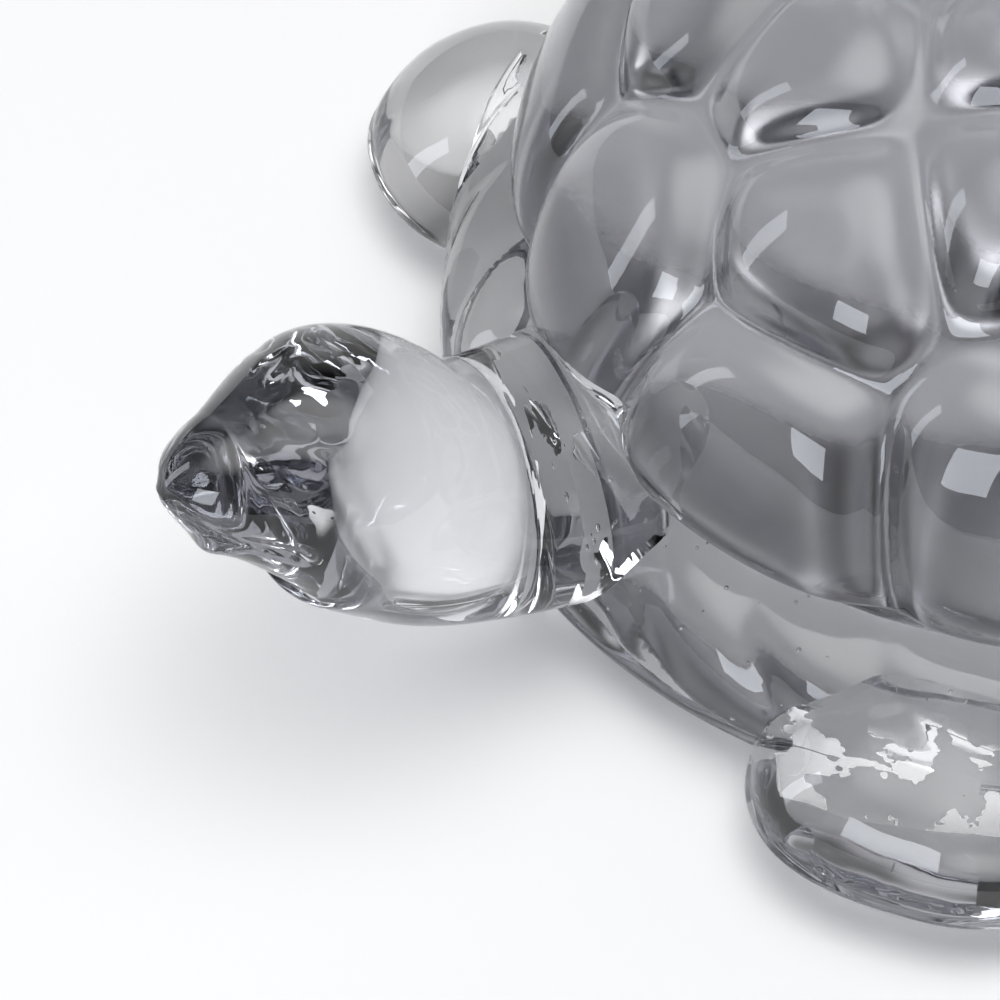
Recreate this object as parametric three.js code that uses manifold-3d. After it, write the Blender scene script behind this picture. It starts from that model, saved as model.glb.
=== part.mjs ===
// Solid clear glass turtle: a pressed shell seated on a belly slab, with a head, four flippers and
// a tail gathered on around the rim. Millimetres, +Z up. The turtle faces -Y and its left side is +X.
// The origin is the middle of the flat underside.

import * as THREE from 'three';
import { mergeVertices } from 'three/addons/utils/BufferGeometryUtils.js';
import Module from 'manifold-3d';

const wasm = await Module();
wasm.setup();

// Gap left at each glass joint
const jointClearance = 0.3;

// Shell: a dome of raised scutes over a sloping skirt that ends in a rounded rim
const shellHalfWidth = 48.6;
const shellHalfLength = 54.6;
const skirtReach = 8.4;
const domeBaseHeight = 14;
const domeRise = 30.3;
const domePlanFullness = 2.2;
const rimEdgeHeight = 4.6;
const rimFootHeight = 2.2;
const rimFootInset = 2.4;
const grooveDepth = 0.9;
const skirtBulge = 2.1;
const domeFootFade = 1.6;

// Belly slab, let into the underside of the shell
const bellyInset = 7;
const bellyThickness = 5;
const bellyEdgeRound = 1.2;

// Scutes, as rows of pillows from the foot of the dome up to its crown. Elevations and angles off the
// front are in degrees, an angle stands for both sides, and the whole pattern was pressed turned a little
// against the head. The valley's round is a share of the pillow's side.
const scuteRows = [
  { elevation: 18, angles: [28, 87, 147] },
  { elevation: 26, angles: [0, 57, 117, 180] },
  { elevation: 45, angles: [24, 66, 109, 152] },
  { elevation: 57, angles: [0, 45, 90, 135, 180] },
  { elevation: 72, angles: [25, 90, 155] },
  { elevation: 90, angles: [0] },
];
const scuteTurn = -8;
const scuteRise = 3.2;
const scuteSideWidth = 4.4;
const scuteCornerRound = 1.2;
const scuteCrown = 0.6;
const scuteCrownReach = 12;
const valleyHalfWidth = 0.3;
const valleyRound = 0.12;
const scuteNeighbours = 5;

// Marginal scutes, as slanted leaves pressed into the skirt
const marginalCount = 28;
const marginalRise = 1.3;
const marginalSlant = 4;

// Head and neck, measured forward of the rim and up from the underside
const neckRootDepth = 11;
const neckRootHeight = 10;
const neckRootHalfWidth = 11.4;
const neckRootHalfHeight = 9.5;
const napeForward = 5.5;
const napeHeight = 13.5;
const napeHalfWidth = 10.2;
const napeHalfHeight = 9.2;
const headForward = 15;
const headHeight = 22.5;
const headHalfWidth = 10.5;
const headHalfHeight = 9.6;
const muzzleForward = 23.5;
const muzzleHeight = 25;
const muzzleHalfWidth = 5.2;
const muzzleHalfHeight = 5.4;
const snoutForward = 27.8;
const snoutHeight = 26.4;
const snoutHalfWidth = 4;
const snoutHalfHeight = 4.2;
const snoutRound = 4.6;
const jawSetback = 1.7;
const jawLength = 9;
const jawBlend = 0.5;
const browRise = 0.3;
const browSpread = 4.2;
const browForward = 17;
const browLift = 0.55;
const browBand = 0.5;

// Flippers and tail, as flat-footed lobes that reach out past the rim
const limbFootHeight = 0.3;
const limbRootDepth = 12;
const footTurn = 0.8;
const frontFlipperAngle = 42.5;
const frontFlipperReach = 10.4;
const frontFlipperHalfWidth = 13.4;
const frontFlipperTop = 13;
const rightFlipperAngle = -44;
const rightFlipperReach = 9.6;
const rightFlipperHalfWidth = 11.4;
const rightFlipperFullness = 1.8;
const rearFlipperAngle = 139;
const rearFlipperReach = 9;
const rearFlipperHalfWidth = 11;
const rearFlipperTop = 10.5;
const flipperSeamHeight = 4.4;
const flipperFullness = 2.5;
const tailAngle = 180;
const tailReach = 9;
const tailHalfWidth = 6.5;
const tailTop = 8.5;
const tailSeamHeight = 2.6;
const tailFullness = 1.7;

// Mesh fineness
const shellSegments = 128;
const domeRows = 28;
const skirtRows = 5;
const headRows = 32;
const headSegments = 28;
const limbRows = 18;
const limbSegments = 32;

// Glass finishes: one clear batch, a shade greyer where it is thick
const thickGlass = '#b3b4be';
const thinGlass = '#d6d8e0';
const glassRoughness = 0.04;

const domeRadius = shellHalfLength - skirtReach;
const widthRatio = shellHalfWidth / shellHalfLength;
const seatRadius = shellHalfLength - bellyInset;
const fullTurn = Math.PI * 2;

// A closed geometry as a solid, with its faces turned outwards
function toSolid(geometry) {
  const bare = geometry.index ? geometry.toNonIndexed() : geometry.clone();
  bare.deleteAttribute('normal');
  bare.deleteAttribute('uv');
  const merged = mergeVertices(bare);
  const points = merged.attributes.position.array;
  const corners = merged.index.array;
  const kept = [];
  let volume = 0;
  const [a, b, c] = [new THREE.Vector3(), new THREE.Vector3(), new THREE.Vector3()];
  for (let i = 0; i < corners.length; i += 3) {
    const [p, q, r] = [corners[i], corners[i + 1], corners[i + 2]];
    if (p === q || q === r || r === p) continue;
    a.fromArray(points, p * 3);
    b.fromArray(points, q * 3);
    c.fromArray(points, r * 3);
    volume += a.dot(b.cross(c));
    kept.push(p, q, r);
  }
  if (volume < 0) kept.reverse();
  return new wasm.Manifold(new wasm.Mesh({
    numProp: 3,
    vertProperties: new Float32Array(points),
    triVerts: new Uint32Array(kept),
  }));
}

// The largest body of a solid, as a named mesh with its own glass
function glassMesh(name, solid, colour) {
  const bodies = solid.decompose();
  const largest = bodies.reduce((best, body) => (body.volume() > best.volume() ? body : best));
  const { vertProperties, triVerts } = largest.getMesh();
  const geometry = new THREE.BufferGeometry();
  geometry.setAttribute('position', new THREE.BufferAttribute(vertProperties, 3));
  geometry.setIndex(new THREE.BufferAttribute(triVerts, 1));
  geometry.computeVertexNormals();
  const material = new THREE.MeshStandardMaterial({ color: colour, roughness: glassRoughness, metalness: 0 });
  const mesh = new THREE.Mesh(geometry, material);
  mesh.name = name;
  return mesh;
}

// Moves every vertex of a geometry, by a function of its place and its surface normal
function moveVertices(geometry, move) {
  const place = geometry.attributes.position;
  const facing = geometry.attributes.normal;
  const point = new THREE.Vector3();
  const normal = new THREE.Vector3();
  for (let i = 0; i < place.count; i += 1) {
    point.fromBufferAttribute(place, i);
    if (facing) normal.fromBufferAttribute(facing, i);
    move(point, normal);
    place.setXYZ(i, point.x, point.y, point.z);
  }
  return geometry;
}

function mergedWithNormals(geometry) {
  geometry.deleteAttribute('normal');
  geometry.deleteAttribute('uv');
  const merged = mergeVertices(geometry);
  merged.computeVertexNormals();
  return merged;
}

function smoothStep(share) {
  const x = THREE.MathUtils.clamp(share, 0, 1);
  return x * x * (3 - 2 * x);
}

// A point of the bare dome, from its angle off the front and its elevation in degrees
function domePoint(angle, elevation) {
  const lift = THREE.MathUtils.degToRad(elevation);
  const radius = domeRadius * Math.cos(lift) ** (2 / domePlanFullness);
  return new THREE.Vector3(
    radius * widthRatio * Math.sin(angle),
    -radius * Math.cos(angle),
    domeBaseHeight + domeRise * Math.sin(lift),
  );
}

function scuteCentres() {
  return scuteRows.flatMap(({ elevation, angles }) => angles.flatMap((angle) => {
    const sides = angle % 180 === 0 ? [1] : [1, -1];
    return sides.map((side) => domePoint(THREE.MathUtils.degToRad(scuteTurn + side * angle), elevation));
  }));
}

const centres = scuteCentres();

// Height of the pillow over a point of the bare dome: round on a scute, low in a valley, none at the foot
function scuteHeight(point) {
  const distances = centres.map((centre) => centre.distanceTo(point)).sort((a, b) => a - b);
  const [nearest, ...others] = distances.slice(0, scuteNeighbours + 1);
  const foot = point.z - domeBaseHeight;
  const edges = [foot, ...others.map((other) => (other - nearest) / 2)];
  const crowding = edges.reduce((sum, edge) => sum + Math.exp(-edge / scuteCornerRound), 0);
  const inward = (-scuteCornerRound * Math.log(crowding) - valleyHalfWidth) / scuteSideWidth;
  const share = Math.min((inward + Math.hypot(inward, valleyRound)) / 2, 1);
  const pillow = scuteRise * Math.sqrt(1 - (1 - share) ** 2);
  const crown = scuteCrown * Math.exp(-((nearest / scuteCrownReach) ** 2));
  return (pillow + crown) * smoothStep(foot / domeFootFade);
}

// Height of the marginal leaves over a point of the skirt
function marginalHeight(point) {
  const climb = (point.z - rimEdgeHeight) / (domeBaseHeight - rimEdgeHeight);
  if (climb <= 0 || climb >= 1) return 0;
  const angle = Math.atan2(point.x / widthRatio, -point.y);
  const wave = Math.abs(Math.sin(angle * marginalCount / 2 + climb * marginalSlant));
  return marginalRise * Math.sqrt(wave) * Math.sin(climb * Math.PI);
}

// Section of the shell from the seat of the belly slab, round the rim, up the skirt and over the dome
function shellProfile() {
  const section = new THREE.Path();
  section.moveTo(0, bellyThickness);
  section.lineTo(seatRadius, bellyThickness);
  section.lineTo(seatRadius, rimFootHeight);
  section.lineTo(shellHalfLength - rimFootInset, rimFootHeight);
  section.quadraticCurveTo(shellHalfLength, rimFootHeight, shellHalfLength, rimEdgeHeight);
  const grooveHeight = domeBaseHeight - grooveDepth;
  section.quadraticCurveTo(shellHalfLength - skirtBulge, grooveHeight, domeRadius, grooveHeight);
  const points = section.getPoints(skirtRows);
  for (let row = 0; row <= domeRows; row += 1) {
    const lift = row / domeRows * Math.PI / 2;
    const radius = row === domeRows ? 0 : domeRadius * Math.cos(lift) ** (2 / domePlanFullness);
    points.push(new THREE.Vector2(radius, domeBaseHeight + domeRise * Math.sin(lift)));
  }
  return points;
}

function shellSolid(growth) {
  const lathe = new THREE.LatheGeometry(shellProfile(), shellSegments);
  lathe.rotateX(Math.PI / 2);
  lathe.scale(widthRatio, 1, 1);
  const bare = mergedWithNormals(lathe);
  const shaped = moveVertices(bare, (point, normal) => {
    const rise = point.z > domeBaseHeight ? scuteHeight(point) : marginalHeight(point);
    point.addScaledVector(normal, rise);
  });
  shaped.computeVertexNormals();
  return toSolid(moveVertices(shaped, (point, normal) => point.addScaledVector(normal, growth)));
}

// Plain drum under the rim, so that what meets the rim ends square below it
function underRimSolid() {
  const depth = rimEdgeHeight + limbRootDepth;
  const drum = new THREE.CylinderGeometry(1, 1, depth, shellSegments);
  drum.rotateX(Math.PI / 2);
  drum.scale(shellHalfWidth + jointClearance, shellHalfLength + jointClearance, 1);
  drum.translate(0, 0, rimEdgeHeight - depth / 2);
  return toSolid(drum);
}

function bellySolid() {
  const radius = seatRadius - jointClearance;
  const top = bellyThickness - jointClearance;
  const section = new THREE.Path();
  section.moveTo(0, 0);
  section.lineTo(radius - bellyEdgeRound, 0);
  section.quadraticCurveTo(radius, 0, radius, bellyEdgeRound);
  section.lineTo(radius, top);
  section.lineTo(0, top);
  const lathe = new THREE.LatheGeometry(section.getPoints(skirtRows), shellSegments / 2);
  lathe.rotateX(Math.PI / 2);
  lathe.scale(widthRatio, 1, 1);
  return toSolid(lathe);
}

// Head and neck as sections along a raised spine, from the neck's root in the shell to the snout
function headSolid() {
  const forward = (distance, height) => new THREE.Vector3(0, -shellHalfLength - distance, height);
  const spine = new THREE.CatmullRomCurve3([
    forward(-neckRootDepth, neckRootHeight),
    forward(napeForward, napeHeight),
    forward(headForward, headHeight),
    forward(muzzleForward, muzzleHeight),
    forward(snoutForward, snoutHeight),
  ]);
  const girth = new THREE.SplineCurve([
    new THREE.Vector2(neckRootHalfWidth, neckRootHalfHeight),
    new THREE.Vector2(napeHalfWidth, napeHalfHeight),
    new THREE.Vector2(headHalfWidth, headHalfHeight),
    new THREE.Vector2(muzzleHalfWidth, muzzleHalfHeight),
    new THREE.Vector2(snoutHalfWidth, snoutHalfHeight),
  ]);
  const tip = spine.getPoint(1);
  const root = spine.getPoint(0);
  const ball = new THREE.SphereGeometry(1, headSegments, headRows);
  return toSolid(moveVertices(ball, (point) => {
    const along = (1 - point.y) / 2;
    const middle = spine.getPoint(along);
    const tangent = spine.getTangent(along);
    const upward = new THREE.Vector3(0, tangent.z, -tangent.y);
    const size = girth.getPoint(along);
    const toEnd = Math.min(middle.distanceTo(tip), middle.distanceTo(root));
    const round = Math.sqrt(1 - (1 - Math.min(toEnd / snoutRound, 1)) ** 2);
    const turn = Math.atan2(point.z, point.x);
    const side = Math.cos(turn);
    const lift = Math.sin(turn);
    point.copy(middle);
    point.x += size.x * round * side;
    point.addScaledVector(upward, size.y * round * lift);
    const muzzleShare = smoothStep(1 - middle.distanceTo(tip) / jawLength);
    point.y += jawSetback * muzzleShare * round * smoothStep(-lift / jawBlend);
    const fromBrow = point.y + shellHalfLength + browForward;
    const browShare = smoothStep(1 - Math.abs(lift - browLift) / browBand);
    point.x += browRise * browShare * Math.exp(-((fromBrow / browSpread) ** 2)) * Math.sign(side);
  }));
}

// A lobe that points away from the shell, with a domed top, a seam round its edge and a rounded underside
// that is flat where it is lowest
function limbSolid({ angle, reach, halfWidth, top, seam, fullness }) {
  const heading = THREE.MathUtils.degToRad(angle);
  const outX = Math.sin(heading);
  const outY = -Math.cos(heading);
  const rimRadius = 1 / Math.hypot(outX / shellHalfWidth, outY / shellHalfLength);
  const halfLength = (limbRootDepth + reach) / 2;
  const middle = rimRadius + reach - halfLength;
  const ball = new THREE.SphereGeometry(1, limbSegments, limbRows);
  return toSolid(moveVertices(ball, (point) => {
    const plan = Math.hypot(point.x, point.z);
    const turn = Math.atan2(point.z, point.x);
    const [outward, sideways] = [Math.cos(turn), Math.sin(turn)];
    const spread = (Math.abs(outward) ** fullness + Math.abs(sideways) ** fullness) ** (-1 / fullness);
    const along = middle + plan * spread * outward * halfLength;
    const across = plan * spread * sideways * halfWidth;
    const underside = Math.max(limbFootHeight, seam + point.y / footTurn * (seam - limbFootHeight));
    const height = point.y > 0 ? seam + point.y * (top - seam) : underside;
    point.set(along * outX - across * outY, along * outY + across * outX, height);
  }));
}

const limbs = {
  flipper_front_left: {
    angle: frontFlipperAngle,
    reach: frontFlipperReach,
    halfWidth: frontFlipperHalfWidth,
    top: frontFlipperTop,
    seam: flipperSeamHeight,
    fullness: flipperFullness,
  },
  flipper_rear_left: {
    angle: rearFlipperAngle,
    reach: rearFlipperReach,
    halfWidth: rearFlipperHalfWidth,
    top: rearFlipperTop,
    seam: flipperSeamHeight,
    fullness: flipperFullness,
  },
  tail: {
    angle: tailAngle,
    reach: tailReach,
    halfWidth: tailHalfWidth,
    top: tailTop,
    seam: tailSeamHeight,
    fullness: tailFullness,
  },
};
// The right front flipper was pulled a little rounder and further back than the left one
limbs.flipper_front_right = {
  ...limbs.flipper_front_left,
  angle: rightFlipperAngle,
  reach: rightFlipperReach,
  halfWidth: rightFlipperHalfWidth,
  fullness: rightFlipperFullness,
};
limbs.flipper_rear_right = { ...limbs.flipper_rear_left, angle: -rearFlipperAngle };

// Everything that meets the rim is cut back to it, less the joint clearance
const rimCut = shellSolid(jointClearance).add(underRimSolid());

const group = new THREE.Group();
group.name = 'glass_turtle';
group.add(glassMesh('carapace', shellSolid(0), thickGlass));
group.add(glassMesh('plastron', bellySolid(), thickGlass));
group.add(glassMesh('head', headSolid().subtract(rimCut), thinGlass));
Object.entries(limbs).forEach(([name, sizes]) => {
  group.add(glassMesh(name, limbSolid(sizes).subtract(rimCut), thinGlass));
});

export default group;
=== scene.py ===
import math
import random

import bmesh
import bpy
from mathutils import Matrix, Vector, noise
from mathutils.bvhtree import BVHTree
from mathutils.geometry import intersect_point_line
from mathutils.kdtree import KDTree


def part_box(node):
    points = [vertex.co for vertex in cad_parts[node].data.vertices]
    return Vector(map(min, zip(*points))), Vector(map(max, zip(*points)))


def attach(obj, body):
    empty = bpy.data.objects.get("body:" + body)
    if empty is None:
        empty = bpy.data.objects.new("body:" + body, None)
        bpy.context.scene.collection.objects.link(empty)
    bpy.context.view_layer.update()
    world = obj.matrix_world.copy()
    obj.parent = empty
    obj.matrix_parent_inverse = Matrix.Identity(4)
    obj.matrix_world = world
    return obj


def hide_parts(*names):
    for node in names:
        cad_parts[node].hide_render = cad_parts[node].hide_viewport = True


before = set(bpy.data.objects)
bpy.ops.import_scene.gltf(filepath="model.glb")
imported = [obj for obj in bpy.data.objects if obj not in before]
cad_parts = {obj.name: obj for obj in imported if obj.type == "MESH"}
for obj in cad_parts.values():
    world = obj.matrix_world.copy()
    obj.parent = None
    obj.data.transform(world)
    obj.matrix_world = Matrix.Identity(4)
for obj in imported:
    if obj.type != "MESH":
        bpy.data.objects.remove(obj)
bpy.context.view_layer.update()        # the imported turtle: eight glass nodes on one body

# Clear glass turtle. Metres, +Z up, snout towards -Y, its left side towards +X.
scene = bpy.context.scene
fullTurn = math.pi * 2
sharpAngle = math.radians(40)        # edges keener than this stay sharp
samePoint = 1e-6        # nearer than this, two points are one
creaseReach = 4        # widths out to which a tooled crease is felt
print("frame loaded:", ", ".join(sorted(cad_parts)))


def smoothStep(share):
    x = min(max(share, 0), 1)
    return x * x * (3 - 2 * x)


def bentRow(start, control, end, steps):
    # points of a quadratic curve, less its start
    row = []
    for step in range(1, steps + 1):
        t = step / steps
        row.append(start.lerp(control, t).lerp(control.lerp(end, t), t))
    return row


def splinePoint(points, knots, share):
    # Catmull-Rom through the points, with the same uneven knots for every curve of a piece
    span = min(int(share * (len(points) - 1)), len(points) - 2)
    t = share * (len(points) - 1) - span
    p1, p2 = points[span], points[span + 1]
    p0 = points[span - 1] if span else p1 * 2 - p2
    p3 = points[span + 2] if span + 2 < len(points) else p2 * 2 - p1
    here = knots[span]
    before = knots[span - 1] if span else here
    after = knots[span + 1] if span + 1 < len(knots) else here
    leave = ((p1 - p0) / before - (p2 - p0) / (before + here) + (p2 - p1) / here) * here
    arrive = ((p2 - p1) / here - (p3 - p1) / (here + after) + (p3 - p2) / after) * here
    bend = (p2 - p1) * 3 - leave * 2 - arrive
    twist = (p1 - p2) * 2 + leave + arrive
    return p1 + leave * t + bend * t * t + twist * t * t * t


def spunSolid(profile, segments, widthRatio):
    # a profile of (radius, height) points turned into a closed oval solid
    bm = bmesh.new()
    line = [bm.verts.new((0, -point.x, point.y)) for point in profile]
    edges = [bm.edges.new(pair) for pair in zip(line, line[1:])]
    bmesh.ops.spin(bm, geom=line + edges, cent=(0, 0, 0), axis=(0, 0, 1), angle=fullTurn,
                   steps=segments, use_merge=True)
    bmesh.ops.remove_doubles(bm, verts=bm.verts, dist=samePoint)
    bmesh.ops.scale(bm, vec=(widthRatio, 1, 1), verts=bm.verts)
    bmesh.ops.recalc_face_normals(bm, faces=bm.faces)
    bm.normal_update()
    return bm


def pushAlongNormals(bm, heightAt):
    pushes = [vert.normal * heightAt(vert.co) for vert in bm.verts]
    for vert, push in zip(bm.verts, pushes):
        vert.co += push
    bm.normal_update()


def addRipple(bm, ripples, lowest, highest=math.inf):
    # slow waves that hot glass keeps as it sets: (wavelength, height) pairs, between two heights
    def heightAt(point):
        if not lowest < point.z < highest:
            return 0
        return sum(height * noise.noise(point / wavelength) for wavelength, height in ripples)
    pushAlongNormals(bm, heightAt)


def lineDistance(point, line):
    nearest = math.inf
    for start, end in zip(line, line[1:]):
        spot, share = intersect_point_line(point, start, end)
        spot = start if share < 0 else end if share > 1 else spot
        nearest = min(nearest, (point - spot).length)
    return nearest


def pressLine(bm, line, width, depth):
    # a tooled crease: a soft groove along a line
    def heightAt(point):
        away = lineDistance(point, line) / width
        return -depth * math.exp(-away * away) if away <= creaseReach else 0
    pushAlongNormals(bm, heightAt)


def shadeSmooth(bm):
    for face in bm.faces:
        face.smooth = True
    for edge in bm.edges:
        edge.smooth = edge.calc_face_angle(0) < sharpAngle


def meshPiece(name, bm):
    shadeSmooth(bm)
    mesh = bpy.data.meshes.new(name)
    bm.to_mesh(mesh)
    piece = bpy.data.objects.new(name, mesh)
    scene.collection.objects.link(piece)
    return piece


# Carapace: dome of raised scutes over a sloping skirt
shellLow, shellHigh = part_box("carapace")
shell = {
    "segments": 512,
    "domeRows": 140,
    "skirtRows": 20,
    "halfWidth": shellHigh.x,
    "halfLength": shellHigh.y,
    "skirtReach": 0.0084,
    "domeBase": 0.014,
    "domeRise": 0.0303,
    "fullness": 2.2,
    "rimEdge": 0.0046,
    "rimFoot": shellLow.z,
    "rimFootInset": 0.0024,
    "groove": 0.0009,
    "skirtBulge": 0.0021,
    "domeFootFade": 0.0016,
    "meltPasses": 4,
    "meltShare": 0.5,
}
belly = {"inset": 0.007, "thickness": 0.005, "edgeRound": 0.0012, "edgeRows": 6, "gap": 0.0003,
         "segments": 128}
scutes = {
    # height up the dome and places off the front, all in degrees, each place with its mirror image
    "rows": [(18, (28, 87, 147)), (26, (0, 57, 117, 180)), (45, (24, 66, 109, 152)),
             (57, (0, 45, 90, 135, 180)), (72, (25, 90, 155)), (90, (0,))],
    "turn": -8,
    "rise": 0.0032,
    "sideWidth": 0.0044,
    "valleyFloor": 0.0003,
    "valleyRound": 0.12,
    "cornerRound": 0.0012,
    "crown": 0.0006,
    "crownReach": 0.012,
    "neighbours": 6,
}
marginals = {"count": 28, "rise": 0.0013, "slant": 4.0, "neckPad": 13, "padFade": 6}
shellRipples = [(0.014, 0.00012), (0.006, 0.00003)]
skirtRipples = [(0.006, 0.00010), (0.0024, 0.00003)]
# Seeds: small bubbles that the gathers trapped in the skirt, from the neck to past the near flipper
seeds = {
    "count": 70,
    "span": (-18, 66),
    "depth": (0.0006, 0.0022),
    "radius": (0.00008, 0.0002),
    "roundness": 2,
    "draw": 7,
}
widthRatio = shell["halfWidth"] / shell["halfLength"]
domeRadius = shell["halfLength"] - shell["skirtReach"]
seatRadius = shell["halfLength"] - belly["inset"]


def domeSpot(angle, lift):
    radius = domeRadius * max(math.cos(lift), 0) ** (2 / shell["fullness"])
    return Vector((radius * widthRatio * math.sin(angle), -radius * math.cos(angle),
                   shell["domeBase"] + shell["domeRise"] * math.sin(lift)))


def scuteTree():
    centres = []
    for lift, angles in scutes["rows"]:
        for angle in sorted({side * angle % 360 for angle in angles for side in (1, -1)}):
            centres.append(domeSpot(math.radians(scutes["turn"] + angle), math.radians(lift)))
    tree = KDTree(len(centres))
    for i, centre in enumerate(centres):
        tree.insert(centre, i)
    tree.balance()
    return tree


def shellRelief(tree):
    def heightAt(point):
        climb = (point.z - shell["rimEdge"]) / (shell["domeBase"] - shell["rimEdge"])
        if climb <= 0:
            return 0
        if climb < 1:
            angle = math.atan2(point.x / widthRatio, -point.y)
            wave = abs(math.sin(angle * marginals["count"] / 2 + climb * marginals["slant"]))
            offPad = smoothStep((abs(math.degrees(angle)) - marginals["neckPad"]) / marginals["padFade"])
            return marginals["rise"] * math.sqrt(wave) * math.sin(climb * math.pi) * offPad
        nearest, *others = [distance for _, _, distance in tree.find_n(point, scutes["neighbours"])]
        corner = scutes["cornerRound"]
        foot = point.z - shell["domeBase"]
        edges = [foot] + [(other - nearest) / 2 for other in others]
        toEdge = -corner * math.log(sum(math.exp(-edge / corner) for edge in edges))
        share = (toEdge - scutes["valleyFloor"]) / scutes["sideWidth"]
        share = min((share + math.hypot(share, scutes["valleyRound"])) / 2, 1)
        pillow = scutes["rise"] * math.sqrt(1 - (1 - share) ** 2)
        crown = scutes["crown"] * math.exp(-(nearest / scutes["crownReach"]) ** 2)
        return (pillow + crown) * smoothStep(foot / shell["domeFootFade"])
    return heightAt


def shellProfile():
    edge, base = shell["halfLength"], shell["domeBase"]
    grooveTop = base - shell["groove"]
    footOut = Vector((edge - shell["rimFootInset"], shell["rimFoot"]))
    rim = Vector((edge, shell["rimEdge"]))
    groove = Vector((domeRadius, grooveTop))
    profile = [Vector((0, belly["thickness"])), Vector((seatRadius, belly["thickness"])),
               Vector((seatRadius, shell["rimFoot"])), footOut]
    profile += bentRow(footOut, Vector((edge, shell["rimFoot"])), rim, shell["skirtRows"] // 2)
    profile += bentRow(rim, Vector((edge - shell["skirtBulge"], grooveTop)), groove, shell["skirtRows"])
    for row in range(shell["domeRows"] + 1):
        spot = domeSpot(0, row / shell["domeRows"] * math.pi / 2)
        profile.append(Vector((-spot.y, spot.z)))
    profile[-1].x = 0
    return profile


def shellMesh():
    bm = spunSolid(shellProfile(), shell["segments"], widthRatio)
    pushAlongNormals(bm, shellRelief(scuteTree()))
    skin = [vert for vert in bm.verts if vert.co.z > shell["rimEdge"]]
    for _ in range(shell["meltPasses"]):        # fire polish rounds the creases
        bmesh.ops.smooth_vert(bm, verts=skin, factor=shell["meltShare"],
                              use_axis_x=True, use_axis_y=True, use_axis_z=True)
    bm.normal_update()
    addRipple(bm, shellRipples, belly["thickness"])
    addRipple(bm, skirtRipples, belly["thickness"], shell["domeBase"])
    return bm


def addSeeds(bm):
    # each is a void, so its faces are turned inwards
    draw = random.Random(seeds["draw"])
    for _ in range(seeds["count"]):
        angle = math.radians(draw.uniform(*seeds["span"]))
        climb = draw.random()
        radius = shell["halfLength"] - shell["skirtReach"] * climb - draw.uniform(*seeds["depth"])
        height = shell["rimEdge"] + (shell["domeBase"] - shell["rimEdge"]) * climb
        spot = Vector((radius * widthRatio * math.sin(angle), -radius * math.cos(angle), height))
        ball = bmesh.ops.create_icosphere(bm, subdivisions=seeds["roundness"],
                                          radius=draw.uniform(*seeds["radius"]),
                                          matrix=Matrix.Translation(spot))
        skin = {face for vert in ball["verts"] for face in vert.link_faces}
        bmesh.ops.reverse_faces(bm, faces=list(skin))
    bm.normal_update()


def bellyMesh():
    radius, top = seatRadius - belly["gap"], belly["thickness"] - belly["gap"]
    edge = belly["edgeRound"]
    foot = Vector((radius - edge, 0))
    profile = [Vector((0, 0)), foot]
    profile += bentRow(foot, Vector((radius, 0)), Vector((radius, edge)), belly["edgeRows"])
    profile += [Vector((radius, top)), Vector((0, top))]
    return spunSolid(profile, belly["segments"], widthRatio)


# Head and neck: (forward of the rim, height, half width, half height) along the spine
head = {
    "sections": [
        (-0.011, 0.010, 0.0114, 0.0095),
        (0.0055, 0.0135, 0.0102, 0.0092),
        (0.015, 0.0225, 0.0105, 0.0096),
        (0.0235, 0.025, 0.0052, 0.0054),
        (0.0278, 0.0264, 0.004, 0.0042),
    ],
    "rows": 120,
    "segments": 128,
    "tangentStep": 0.001,
    "snoutRound": 0.0046,
    "jawSetback": 0.0014,
    "jawLength": 0.009,
    "jawBlend": 0.9,
    "ripples": [(0.011, 0.00018), (0.005, 0.00004)],
}
# Tool marks on the head's left side, as points near its surface, and the same on its right
headMarks = {
    "eye": {"line": [(0.0012, -0.0722, 0.0315), (0.0031, -0.0707, 0.0312), (0.0046, -0.0712, 0.0306)],
            "width": 0.0006, "depth": 0.00018},
    "eyelid": {"line": [(0.0008, -0.0738, 0.0312), (0.0030, -0.0735, 0.0308), (0.0046, -0.0714, 0.0306)],
               "width": 0.0005, "depth": 0.00008},
    "cheek": {"line": [(0.0046, -0.0706, 0.0306), (0.0073, -0.0708, 0.0284), (0.0092, -0.0703, 0.0255),
                       (0.0104, -0.0698, 0.0227)],
              "width": 0.0006, "depth": 0.00016},
    "mouth": {"line": [(0.0016, -0.0818, 0.0262), (0.0034, -0.0807, 0.0256), (0.0053, -0.0778, 0.0240),
                       (0.0073, -0.0749, 0.0232)],
              "width": 0.0007, "depth": 0.0003},
}
# a drip of glass under the left of the snout
chinDrip = {"place": (0.0030, -0.0800, 0.0228), "radius": 0.0014, "height": 0.0006}


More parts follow.
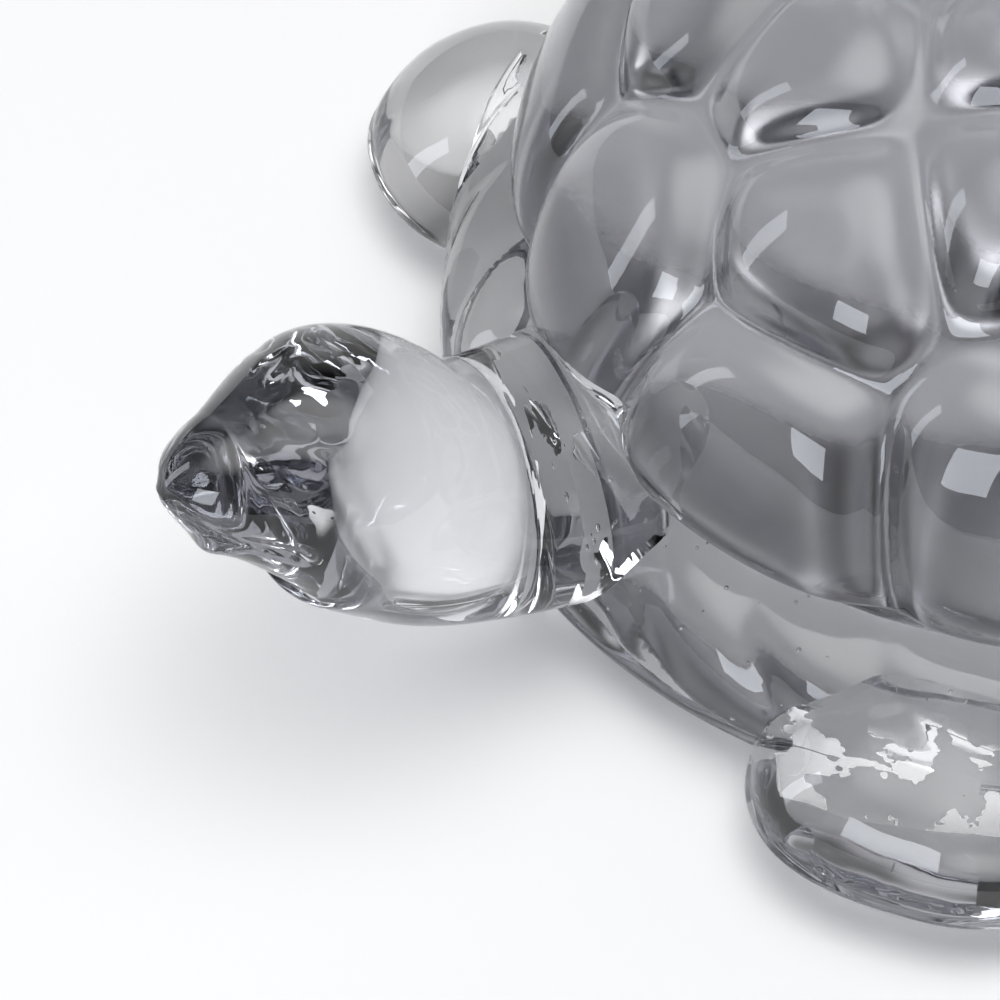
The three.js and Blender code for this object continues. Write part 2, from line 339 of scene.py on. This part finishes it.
def headMesh():
    spine, girth = [], []
    for forward, height, halfWidth, halfHeight in head["sections"]:
        spine.append(Vector((0, -shell["halfLength"] - forward, height)))
        girth.append(Vector((halfWidth, halfHeight, 0)))
    knots = [math.sqrt((b - a).length) for a, b in zip(spine, spine[1:])]
    tip, root = spine[-1], spine[0]
    bm = bmesh.new()
    bmesh.ops.create_uvsphere(bm, u_segments=head["segments"], v_segments=head["rows"], radius=1)
    for vert in bm.verts:
        along = min(max((1 - vert.co.z) / 2, 0), 1)
        middle = splinePoint(spine, knots, along)
        ahead = splinePoint(spine, knots, min(along + head["tangentStep"], 1))
        behind = splinePoint(spine, knots, max(along - head["tangentStep"], 0))
        tangent = (ahead - behind).normalized()
        size = splinePoint(girth, knots, along)
        toEnd = min((middle - tip).length, (middle - root).length)
        swell = math.sqrt(max(1 - (1 - min(toEnd / head["snoutRound"], 1)) ** 2, 0))
        turn = math.atan2(vert.co.y, vert.co.x)
        side, lift = math.cos(turn), math.sin(turn)
        muzzle = smoothStep(1 - (middle - tip).length / head["jawLength"])
        vert.co = middle + Vector((side * size.x, 0, 0)) * swell
        vert.co += Vector((0, tangent.z, -tangent.y)) * size.y * swell * lift
        vert.co.y += head["jawSetback"] * muzzle * swell * smoothStep(-lift / head["jawBlend"])
    bmesh.ops.remove_doubles(bm, verts=bm.verts, dist=samePoint)
    bmesh.ops.recalc_face_normals(bm, faces=bm.faces)
    bm.normal_update()
    addRipple(bm, head["ripples"], 0)
    for mark in headMarks.values():
        for side in (1, -1):
            line = [Vector((x * side, y, z)) for x, y, z in mark["line"]]
            pressLine(bm, line, mark["width"], mark["depth"])
    drop = Vector(chinDrip["place"])
    pushAlongNormals(bm, lambda point: chinDrip["height"] * math.exp(
        -((point - drop).length / chinDrip["radius"]) ** 2))
    return bm


# Flippers and tail: flat-footed lobes that reach out past the rim
limbs = {
    "flipper_front_left": {"angle": 42.5, "reach": 0.0104, "halfWidth": 0.0134, "top": 0.0130,
                           "seam": 0.0044, "fullness": 2.5},
    "flipper_rear_left": {"angle": 139, "reach": 0.009, "halfWidth": 0.011, "top": 0.0105,
                          "seam": 0.0044, "fullness": 2.5},
    "tail": {"angle": 180, "reach": 0.009, "halfWidth": 0.0065, "top": 0.0085,
             "seam": 0.0026, "fullness": 1.7},
}
# the far flipper is smaller and rounder than the near one, and further back
limbs["flipper_front_right"] = dict(
    limbs["flipper_front_left"], angle=-44, reach=0.0096, halfWidth=0.0114, fullness=1.8)
limbs["flipper_rear_right"] = dict(limbs["flipper_rear_left"], angle=-139)
limbShape = {
    "rows": 96,
    "segments": 160,
    "foot": 0.0003,
    "footTurn": 0.8,
    "rootDepth": 0.012,
    "seamRidge": 0.00035,
    "seamWidth": 0.0005,
    "rippleFoot": 0.0006,
    "ripples": [(0.010, 0.00025), (0.004, 0.00006)],
}


def limbMesh(limb):
    heading = math.radians(limb["angle"])
    out = Vector((math.sin(heading), -math.cos(heading), 0))
    across = Vector((-out.y, out.x, 0))
    rimRadius = 1 / math.hypot(out.x / shell["halfWidth"], out.y / shell["halfLength"])
    halfLength = (limbShape["rootDepth"] + limb["reach"]) / 2
    middle = rimRadius + limb["reach"] - halfLength
    seam, foot, full = limb["seam"], limbShape["foot"], limb["fullness"]
    bm = bmesh.new()
    bmesh.ops.create_uvsphere(bm, u_segments=limbShape["segments"], v_segments=limbShape["rows"],
                              radius=1)
    for vert in bm.verts:
        rise = vert.co.z
        plan = math.hypot(vert.co.x, vert.co.y)
        turn = math.atan2(vert.co.y, vert.co.x)
        ahead, aside = math.cos(turn), math.sin(turn)
        spread = plan * (abs(ahead) ** full + abs(aside) ** full) ** (-1 / full)
        height = seam + rise * (limb["top"] - seam)
        if rise < 0:
            height = max(foot, seam + rise / limbShape["footTurn"] * (seam - foot))
        vert.co = out * (middle + spread * ahead * halfLength)
        vert.co += across * (spread * aside * limb["halfWidth"])
        vert.co.z = height
    bmesh.ops.remove_doubles(bm, verts=bm.verts, dist=samePoint)
    bmesh.ops.recalc_face_normals(bm, faces=bm.faces)
    bm.normal_update()
    addRipple(bm, limbShape["ripples"], limbShape["rippleFoot"])
    pushAlongNormals(bm, lambda point: limbShape["seamRidge"] * math.exp(
        -((point.z - seam) / limbShape["seamWidth"]) ** 2))
    return bm


# Joints: what meets the rim is cut back to the shell, a hair clear of it. The hot glass took in some places
# and trapped air in others, so a point is fused, patchy or free, and the neck has a little more air.
joint = {
    "gap": 0.00003,
    "edge": 0.00008,        # a point of a limb this near the shell is on the joint
    "highest": 0.0224,        # nothing joins the dome above this
    "drumSegments": 256,
}
# shifts of the patches' noise: below zero a joint is solid glass, above it there is air
seals = {"fused": -2, "patchy": 0, "neck": 0.1, "free": 2}


def rimDrum():
    bm = bmesh.new()
    depth = shell["rimEdge"] + limbShape["rootDepth"]
    bmesh.ops.create_cone(bm, cap_ends=True, segments=joint["drumSegments"], radius1=1, radius2=1,
                          depth=depth)
    size = (shell["halfWidth"] + joint["gap"], shell["halfLength"] + joint["gap"], 1)
    bmesh.ops.scale(bm, vec=size, verts=bm.verts)
    bmesh.ops.translate(bm, vec=(0, 0, shell["rimEdge"] - depth / 2), verts=bm.verts)
    return bm


def cutBy(piece, cutters):
    for cutter in cutters:
        cut = piece.modifiers.new("jointCut", "BOOLEAN")
        cut.operation = "DIFFERENCE"
        cut.solver = "MANIFOLD"
        cut.object = cutter
    bpy.context.view_layer.update()
    cutPiece = piece.evaluated_get(bpy.context.evaluated_depsgraph_get())
    cutMesh = bpy.data.meshes.new_from_object(cutPiece)
    piece.modifiers.clear()
    piece.data = cutMesh


def largestBody(bm):
    # drops the slivers that a cut leaves behind the shell
    left = set(bm.verts)
    bodies = []
    while left:
        body, edge = set(), [left.pop()]
        while edge:
            vert = edge.pop()
            body.add(vert)
            fresh = {link.other_vert(vert) for link in vert.link_edges} & left
            left -= fresh
            edge += fresh
        bodies.append(body)
    bodies.sort(key=len)
    bmesh.ops.delete(bm, geom=[vert for body in bodies[:-1] for vert in body], context="VERTS")


def markJoint(mesh, sealAt):
    # how far each point is sealed to the glass beside it, read by the glass material
    seal = mesh.attributes.new("jointSeal", "FLOAT", "POINT")
    seal.data.foreach_set("value", [seals[sealAt(vert.co)] for vert in mesh.vertices])


def signedDistance(tree, point):
    spot, normal, _, distance = tree.find_nearest(point)
    return distance if (point - spot).dot(normal) > 0 else -distance


shellBm = shellMesh()
shellBvh = BVHTree.FromBMesh(shellBm)
cutterBm = shellBm.copy()
pushAlongNormals(cutterBm, lambda point: joint["gap"])
cutters = [meshPiece("shellCutter", cutterBm), meshPiece("drumCutter", rimDrum())]
addSeeds(shellBm)
print("shell:", len(shellBm.verts), "points")

limbBms = {"head": headMesh()}
limbBms.update({name: limbMesh(limb) for name, limb in limbs.items()})
limbBvhs = {name: BVHTree.FromBMesh(bm) for name, bm in limbBms.items()}

pieces = {
    "carapace": meshPiece("glass_carapace", shellBm),
    "plastron": meshPiece("glass_plastron", bellyMesh()),
}
for name, bm in limbBms.items():
    piece = meshPiece("glass_" + name, bm)
    cutBy(piece, cutters)
    trimmed = bmesh.new()
    trimmed.from_mesh(piece.data)
    largestBody(trimmed)
    trimmed.normal_update()
    shadeSmooth(trimmed)
    trimmed.to_mesh(piece.data)
    pieces[name] = piece
    print("cut", name, len(trimmed.verts), "points")
for cutter in cutters:
    bpy.data.objects.remove(cutter)


def sealOf(name):
    return "neck" if name == "head" else "patchy"


def shellJoint(point):
    low = point.z < belly["thickness"] + samePoint
    if low and math.hypot(point.x / widthRatio, point.y) < seatRadius + samePoint:
        return "fused"
    if point.z > joint["highest"]:
        return "free"
    inside = [name for name, tree in limbBvhs.items() if signedDistance(tree, point) < 0]
    return sealOf(inside[0]) if inside else "free"


def bellyJoint(point):
    return "fused" if point.z > belly["edgeRound"] - samePoint else "free"


def limbJoint(point, seal):
    across = point.x / (shell["halfWidth"] + joint["edge"])
    along = point.y / (shell["halfLength"] + joint["edge"])
    underRim = point.z < shell["rimEdge"] and math.hypot(across, along) < 1
    _, _, _, away = shellBvh.find_nearest(point)
    return seal if underRim or away < joint["edge"] else "free"


markJoint(pieces["carapace"].data, shellJoint)
markJoint(pieces["plastron"].data, bellyJoint)
for name in limbBms:
    markJoint(pieces[name].data, lambda point: limbJoint(point, sealOf(name)))
print("joints marked")


def linear(hexColour):
    # sRGB as written to the renderer's linear RGBA
    parts = [int(hexColour[i:i + 2], 16) / 255 for i in (1, 3, 5)]
    return tuple(c / 12.92 if c <= 0.04045 else ((c + 0.055) / 1.055) ** 2.4 for c in parts) + (1,)


def addNode(tree, kind, values=None, links=None, **settings):
    node = tree.nodes.new(kind)
    for name, value in settings.items():
        setattr(node, name, value)
    for name, value in (values or {}).items():
        node.inputs[name].default_value = value
    for name, source in (links or {}).items():
        tree.links.new(source, node.inputs[name])
    return node


# Pressed soda-lime glass: clear, with a grey-lavender cast that grows with its depth. It shows a bent view
# of the table and the room, wavers a little over its fire-polished skin and blurs over the ground base.
glass = {"tint": "#b2b3bc", "density": 15, "ior": 1.5, "fusedIor": 1.0}
# patches of trapped air in the joints, and where and how sharply their noise turns to air
patch = {"size": 0.005, "detail": 4, "share": 0.5, "gain": 3}
# low waves of the skin, and its duller spots with the least and most roughness there
finishes = {
    "soda_lime_glass_fire_polished": {
        "wave": {"size": 0.0024, "detail": 1, "height": 0.000006},
        "spot": {"size": 0.007, "detail": 3, "roughness": (0, 0.012)},
    },
    "soda_lime_glass_ground": {
        "wave": {"size": 0.0004, "detail": 1, "height": 0.000001},
        "spot": {"size": 0.002, "detail": 3, "roughness": (0.08, 0.2)},
    },
}


def pressedGlass(name):
    material = bpy.data.materials.new(name)
    material.use_nodes = True
    tree = material.node_tree
    tree.nodes.clear()
    wave, spot = finishes[name]["wave"], finishes[name]["spot"]
    place = addNode(tree, "ShaderNodeTexCoord")
    seal = addNode(tree, "ShaderNodeAttribute", attribute_name="jointSeal")
    patches, spots, waves = [
        addNode(tree, "ShaderNodeTexNoise", {"Scale": 1 / blotch["size"], "Detail": blotch["detail"]},
                {"Vector": place.outputs["Object"]}).outputs["Fac"]
        for blotch in (patch, spot, wave)
    ]
    # where a joint is fused the glass runs on, so its surface there bends nothing
    air = addNode(tree, "ShaderNodeMath", {1: patch["gain"], 2: -patch["gain"] * patch["share"]},
                  {0: patches}, operation="MULTIPLY_ADD")
    loose = addNode(tree, "ShaderNodeMath", None, {0: seal.outputs["Fac"], 1: air.outputs[0]},
                    operation="ADD")
    free = addNode(tree, "ShaderNodeMath", {1: 0.0}, {0: loose.outputs[0]}, operation="GREATER_THAN")
    index = addNode(tree, "ShaderNodeMath", {1: glass["ior"] - glass["fusedIor"], 2: glass["fusedIor"]},
                    {0: free.outputs[0]}, operation="MULTIPLY_ADD")
    least, most = spot["roughness"]
    dull = addNode(tree, "ShaderNodeMapRange", {"To Min": least, "To Max": most}, {"Value": spots})
    skin = addNode(tree, "ShaderNodeBump", {"Distance": wave["height"]}, {"Height": waves})
    surface = addNode(tree, "ShaderNodeBsdfPrincipled",
                      {"Base Color": (1, 1, 1, 1), "IOR": glass["ior"], "Transmission Weight": 1},
                      {"IOR": index.outputs[0], "Roughness": dull.outputs[0], "Normal": skin.outputs[0]})
    depth = addNode(tree, "ShaderNodeVolumeAbsorption",
                    {"Color": linear(glass["tint"]), "Density": glass["density"]})
    addNode(tree, "ShaderNodeOutputMaterial", None,
            {"Surface": surface.outputs[0], "Volume": depth.outputs[0]})
    return material


polished, ground = [pressedGlass(name) for name in finishes]
for name, piece in pieces.items():
    piece.data.materials.clear()
    piece.data.materials.append(ground if name == "plastron" else polished)
    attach(piece, "root")
    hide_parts(name)
print("pieces:", len(pieces))

# Table: plain white card, matt, so it takes a soft shadow and mirrors nothing
table = {"size": 2.4, "drop": 0.0003, "colour": "#fafafa", "roughness": 0.8}


def whiteTable():
    material = bpy.data.materials.new("white_card_matt")
    material.use_nodes = True
    tree = material.node_tree
    tree.nodes.clear()
    card = addNode(tree, "ShaderNodeBsdfPrincipled",
                   {"Base Color": linear(table["colour"]), "Roughness": table["roughness"]})
    addNode(tree, "ShaderNodeOutputMaterial", None, {"Surface": card.outputs[0]})
    bm = bmesh.new()
    bmesh.ops.create_grid(bm, x_segments=2, y_segments=2, size=table["size"] / 2)
    bmesh.ops.translate(bm, vec=(0, 0, -table["drop"]), verts=bm.verts)
    floor = meshPiece("table", bm)
    floor.data.materials.append(material)


whiteTable()

# Soft studio light in a dim room: a glow from overhead, two faint ones behind, a window lamp between the
# camera and the snout, and a strip lamp on the snout's other side
room = {
    "walls": 0.04,
    "glows": [
        # direction, where it fades in as a cosine, strength
        ((0, 0, 1), 0.80, 3.6),
        ((-0.03, 0.62, 0.79), 0.80, 0.5),
        ((-0.86, 0.45, 0.24), 0.85, 0.8),
    ],
}
lamps = {
    "windowLamp": {"place": (0.36, -0.60, 0.30), "size": (0.30, 0.26), "radiance": 7.6},
    "stripLamp": {"place": (-0.31, -0.58, 0.24), "size": (0.12, 0.50), "radiance": 4.7},
}
lampColour = "#eef3fb"


def lightRoom():
    world = bpy.data.worlds.new("room")
    world.use_nodes = True
    tree = world.node_tree
    tree.nodes.clear()
    way = addNode(tree, "ShaderNodeTexCoord")
    level = addNode(tree, "ShaderNodeValue")
    level.outputs[0].default_value = room["walls"]
    for aim, fadeIn, strength in room["glows"]:
        near = addNode(tree, "ShaderNodeVectorMath", {1: Vector(aim).normalized()},
                       {0: way.outputs["Generated"]}, operation="DOT_PRODUCT")
        glow = addNode(tree, "ShaderNodeMapRange", {"From Min": fadeIn, "To Max": strength},
                       {"Value": near.outputs["Value"]}, interpolation_type="SMOOTHSTEP")
        level = addNode(tree, "ShaderNodeMath", None, {0: level.outputs[0], 1: glow.outputs[0]},
                        operation="ADD")
    sky = addNode(tree, "ShaderNodeBackground", {"Color": (1, 1, 1, 1)}, {"Strength": level.outputs[0]})
    addNode(tree, "ShaderNodeOutputWorld", None, {"Surface": sky.outputs[0]})
    scene.world = world
    for name, lamp in lamps.items():
        light = bpy.data.lights.new(name, "AREA")
        light.shape = "RECTANGLE"
        light.size, light.size_y = lamp["size"]
        light.energy = lamp["radiance"] * math.pi * light.size * light.size_y
        light.color = linear(lampColour)[:3]
        holder = bpy.data.objects.new(name, light)
        holder.location = lamp["place"]
        holder.rotation_euler = (-Vector(lamp["place"])).to_track_quat("-Z", "Y").to_euler()
        scene.collection.objects.link(holder)


lightRoom()
print("lights:", ", ".join(lamps))

# Camera, fitted to the photograph: a long lens, looking down on the turtle's left shoulder
view = {"place": (0.22606, -0.17382, 0.33418), "azimuth": 62.3, "elevation": 51.8, "lens": 200.5,
        "sensor": 36, "nearest": 0.01}


def addCamera():
    data = bpy.data.cameras.new("camera")
    data.sensor_width = view["sensor"]
    data.lens = view["lens"]
    data.clip_start = view["nearest"]
    camera = bpy.data.objects.new("camera", data)
    camera.location = view["place"]
    camera.rotation_euler = (math.radians(90 - view["elevation"]), 0, math.radians(view["azimuth"]))
    scene.collection.objects.link(camera)
    scene.camera = camera


addCamera()
scene.view_settings.view_transform = "Standard"
# light crosses many glass walls before it leaves
bounces = {"all": 24, "transmitted": 24, "mirrored": 8}
scene.cycles.max_bounces = bounces["all"]
scene.cycles.transmission_bounces = bounces["transmitted"]
scene.cycles.glossy_bounces = bounces["mirrored"]
